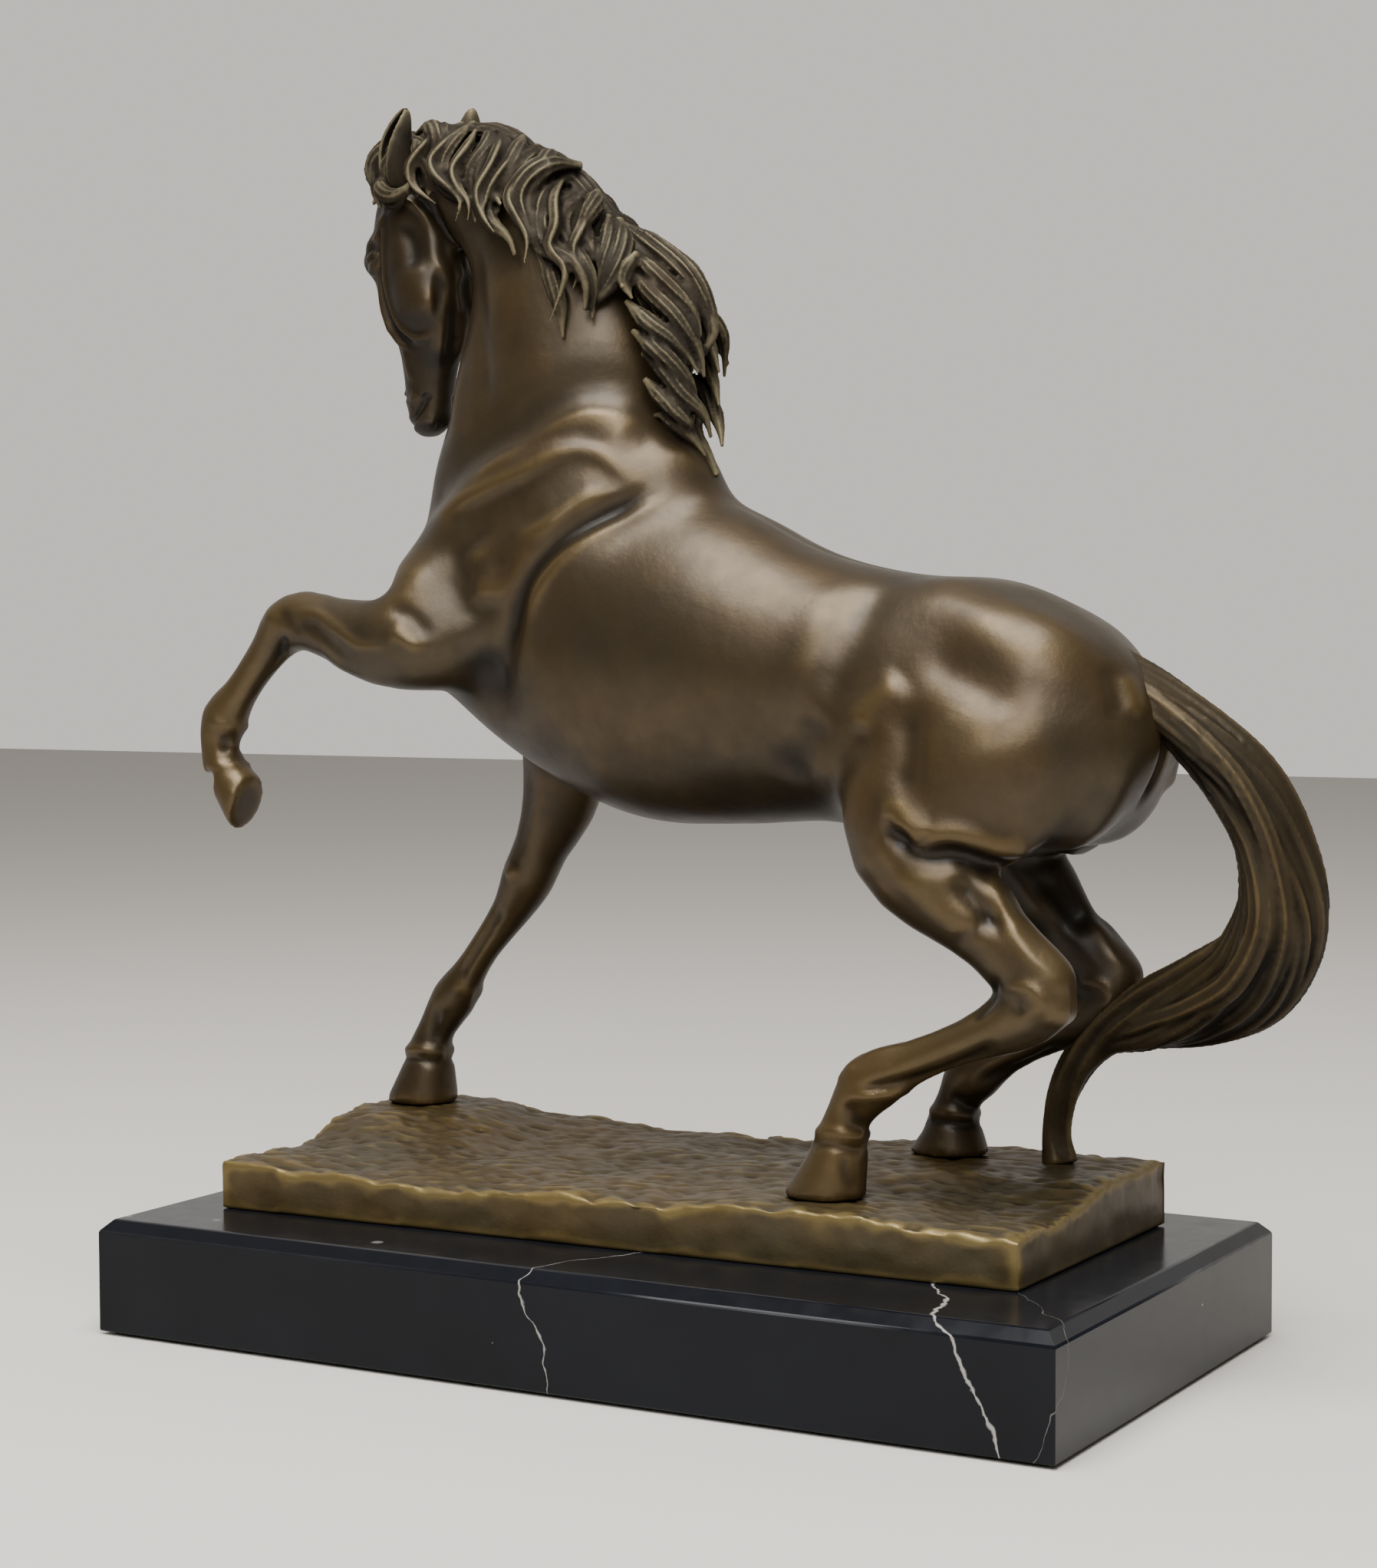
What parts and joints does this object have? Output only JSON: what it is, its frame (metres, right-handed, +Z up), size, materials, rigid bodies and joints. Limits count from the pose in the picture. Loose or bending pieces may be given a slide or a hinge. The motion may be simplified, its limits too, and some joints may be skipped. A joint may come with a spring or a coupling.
{
  "type": "horse statuette",
  "caption": "Prancing horse statuette in patinated bronze, one foreleg raised and tail sweeping to the ground, on a rough bronze plinth and a polished black marble base.",
  "frame": {"origin": "on the plane the statuette rests on, under the middle of the marble base", "axes": "+Z up; -X the way the horse faces; -Y the side of the raised foreleg, the horse's left"},
  "size_m": [0.3163, 0.15, 0.3396],
  "materials": {
    "bronze": "brown patina, satin wax",
    "hair_bronze": "dark patina, rubbed on the ridges",
    "plinth_bronze": "rough cast, worn gold at the edges",
    "marble": "polished black with white veins",
    "felt": "baize",
    "steel": "zinc plated"
  },
  "bodies": {
    "root": {"base_felt": "felt", "marble_base": "marble", "fixing_nuts": "steel", "fixing_washers": "steel", "fixing_studs": "steel", "plinth": "plinth_bronze", "foot_pins": "steel", "trunk": "bronze", "hindquarters": "bronze", "neck": "bronze", "head": "bronze", "left_ear": "bronze", "right_ear": "bronze", "forelock": "hair_bronze", "upper_mane": "hair_bronze", "lower_mane": "hair_bronze", "left_foreleg": "bronze", "right_foreleg": "bronze", "left_hind_leg": "bronze", "right_hind_leg": "bronze", "tail": "hair_bronze", "tail_strand": "hair_bronze"}
  },
  "joints": []
}
